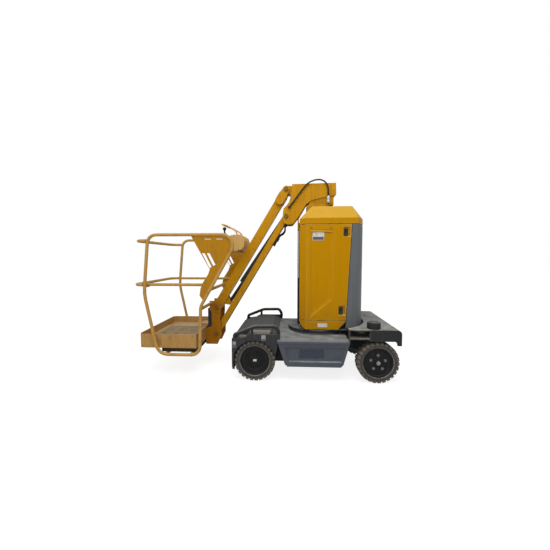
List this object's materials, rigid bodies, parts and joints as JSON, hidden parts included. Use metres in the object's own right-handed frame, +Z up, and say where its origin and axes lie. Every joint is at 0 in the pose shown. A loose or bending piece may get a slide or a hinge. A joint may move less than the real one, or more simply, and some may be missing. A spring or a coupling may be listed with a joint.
{
  "type": "mast boom lift",
  "caption": "Parked electric boom lift: slewing telescopic mast tower on a narrow wheeled chassis, with a parallelogram jib folded down to a caged work basket.",
  "frame": {"origin": "floor level under the middle of the whole machine's length and width", "axes": "+X from the basket end to the steered wheels, +Y across to the side away from the drop bar, +Z up"},
  "size_m": [2.638, 0.99, 2.052],
  "materials": {
    "yellow_paint": "satin",
    "yellow_cover": "satin",
    "tan_paint": "matte",
    "console_cover": "matte",
    "dark_steel": "matte",
    "tray_paint": "matte",
    "dark_cover": "matte",
    "grey_box": "matte",
    "grey_cover": "matte",
    "bare_steel": "satin",
    "rim_black": "satin",
    "tyre": "matte",
    "hose_rubber": "matte"
  },
  "bodies": {
    "chassis": {"chassis_frame": "dark_steel", "front_cover": "dark_cover", "guard_hoops": "dark_steel", "side_boxes": "grey_box", "rear_tray": "tray_paint", "steer_axle": "dark_steel", "slew_ring": "bare_steel"},
    "drive_wheel_near": {"drive_tyre_near": "tyre", "drive_rim_near": "rim_black"},
    "drive_wheel_far": {"drive_tyre_far": "tyre", "drive_rim_far": "rim_black"},
    "knuckle_near": {"knuckle_near": "dark_steel"},
    "knuckle_far": {"knuckle_far": "dark_steel"},
    "steer_wheel_near": {"steer_tyre_near": "tyre", "steer_rim_near": "rim_black"},
    "steer_wheel_far": {"steer_tyre_far": "tyre", "steer_rim_far": "rim_black"},
    "turret": {"turntable": "dark_steel", "mast_base": "dark_steel", "tower_skirt": "yellow_cover", "tower_cap": "yellow_cover", "rear_cover": "grey_cover", "counterweight": "dark_steel"},
    "door_near": {"door_near": "yellow_cover"},
    "door_far": {"door_far": "yellow_cover"},
    "mast_1": {"mast_1": "bare_steel"},
    "mast_2": {"mast_2": "bare_steel"},
    "mast_3": {"mast_3": "bare_steel"},
    "mast_4": {"mast_4": "yellow_paint", "gooseneck": "yellow_paint", "head_hose": "hose_rubber"},
    "jib_beam": {"upper_beam": "yellow_paint"},
    "jib_links": {"lower_links": "yellow_paint", "jib_hose": "hose_rubber"},
    "lift_barrel": {"lift_barrel": "dark_steel"},
    "lift_rod": {"lift_rod": "dark_steel"},
    "basket": {"head_bracket": "tan_paint", "basket_floor": "tan_paint", "basket_loops": "tan_paint", "front_rails": "tan_paint", "cross_tubes": "tan_paint", "control_box": "console_cover", "joystick": "hose_rubber"},
    "gate": {"gate_bar": "tan_paint"}
  },
  "joints": [
    {"name": "drive_wheel_near_spin", "type": "hinge", "parent": "chassis", "child": "drive_wheel_near", "pos_m": [-0.09002, -0.4175, 0.203], "axis": [0, 1, 0], "continuous": true},
    {"name": "drive_wheel_far_spin", "type": "hinge", "parent": "chassis", "child": "drive_wheel_far", "pos_m": [-0.09002, 0.4175, 0.203], "axis": [0, 1, 0], "continuous": true},
    {"name": "steer_near", "type": "hinge", "parent": "chassis", "child": "knuckle_near", "pos_m": [1.10998, -0.3775, 0.203], "axis": [0, 0, 1], "range_deg": [-50, 50]},
    {"name": "steer_far", "type": "hinge", "parent": "chassis", "child": "knuckle_far", "pos_m": [1.10998, 0.3775, 0.203], "axis": [0, 0, 1], "range_deg": [-50, 50]},
    {"name": "steer_wheel_near_spin", "type": "hinge", "parent": "knuckle_near", "child": "steer_wheel_near", "pos_m": [1.10998, -0.4175, 0.203], "axis": [0, 1, 0], "continuous": true},
    {"name": "steer_wheel_far_spin", "type": "hinge", "parent": "knuckle_far", "child": "steer_wheel_far", "pos_m": [1.10998, 0.4175, 0.203], "axis": [0, 1, 0], "continuous": true},
    {"name": "slew", "type": "hinge", "parent": "chassis", "child": "turret", "pos_m": [0.55298, 0, 0.44], "axis": [0, 0, 1], "range_deg": [-172.5, 172.5]},
    {"name": "door_near_hinge", "type": "hinge", "parent": "turret", "child": "door_near", "pos_m": [0.37498, -0.2, 1.078], "axis": [0, 0, -1], "range_deg": [0, 110]},
    {"name": "door_far_hinge", "type": "hinge", "parent": "turret", "child": "door_far", "pos_m": [0.37498, 0.2, 1.078], "axis": [0, 0, 1], "range_deg": [0, 110]},
    {"name": "mast_lift", "type": "slide", "parent": "turret", "child": "mast_1", "axis": [0, 0, 1], "range_m": [0, 0.85]},
    {"name": "mast_lift_2", "type": "slide", "parent": "mast_1", "child": "mast_2", "axis": [0, 0, 1], "range_m": [0, 0.85]},
    {"name": "mast_lift_3", "type": "slide", "parent": "mast_2", "child": "mast_3", "axis": [0, 0, 1], "range_m": [0, 0.85]},
    {"name": "mast_lift_4", "type": "slide", "parent": "mast_3", "child": "mast_4", "axis": [0, 0, 1], "range_m": [0, 0.85]},
    {"name": "jib_lift", "type": "hinge", "parent": "mast_4", "child": "jib_beam", "pos_m": [0.21198, 0, 1.957], "axis": [0, 1, 0], "range_deg": [0, 130]},
    {"name": "jib_link_lift", "type": "hinge", "parent": "mast_4", "child": "jib_links", "pos_m": [0.21198, 0, 1.667], "axis": [0, 1, 0], "range_deg": [0, 130]},
    {"name": "basket_level", "type": "hinge", "parent": "jib_beam", "child": "basket", "pos_m": [-0.56798, 0, 0.66404], "axis": [0, 1, 0], "range_deg": [-130, 0]},
    {"name": "lift_barrel_swing", "type": "hinge", "parent": "mast_4", "child": "lift_barrel", "pos_m": [0.21198, 0, 1.667], "axis": [0, 1, 0], "range_deg": [0, 127.17]},
    {"name": "lift_rod_slide", "type": "slide", "parent": "lift_barrel", "child": "lift_rod", "axis": [-0.5602, 0, -0.8283], "range_m": [0, 0.5212]},
    {"name": "gate_hinge", "type": "hinge", "parent": "basket", "child": "gate", "pos_m": [-0.56698, -0.415, 0.94804], "axis": [0, 1, 0], "range_deg": [0, 85]}
  ],
  "couplings": [
    {"joint": "steer_far", "follows": "steer_near", "ratio": 1},
    {"joint": "mast_lift_2", "follows": "mast_lift", "ratio": 1},
    {"joint": "mast_lift_3", "follows": "mast_lift", "ratio": 1},
    {"joint": "mast_lift_4", "follows": "mast_lift", "ratio": 1},
    {"joint": "jib_link_lift", "follows": "jib_lift", "ratio": 1},
    {"joint": "basket_level", "follows": "jib_lift", "ratio": -1},
    {"joint": "lift_barrel_swing", "follows": "jib_lift", "ratio": 0.97817},
    {"joint": "lift_rod_slide", "follows": "jib_lift", "m_per_rad": 0.22968}
  ]
}
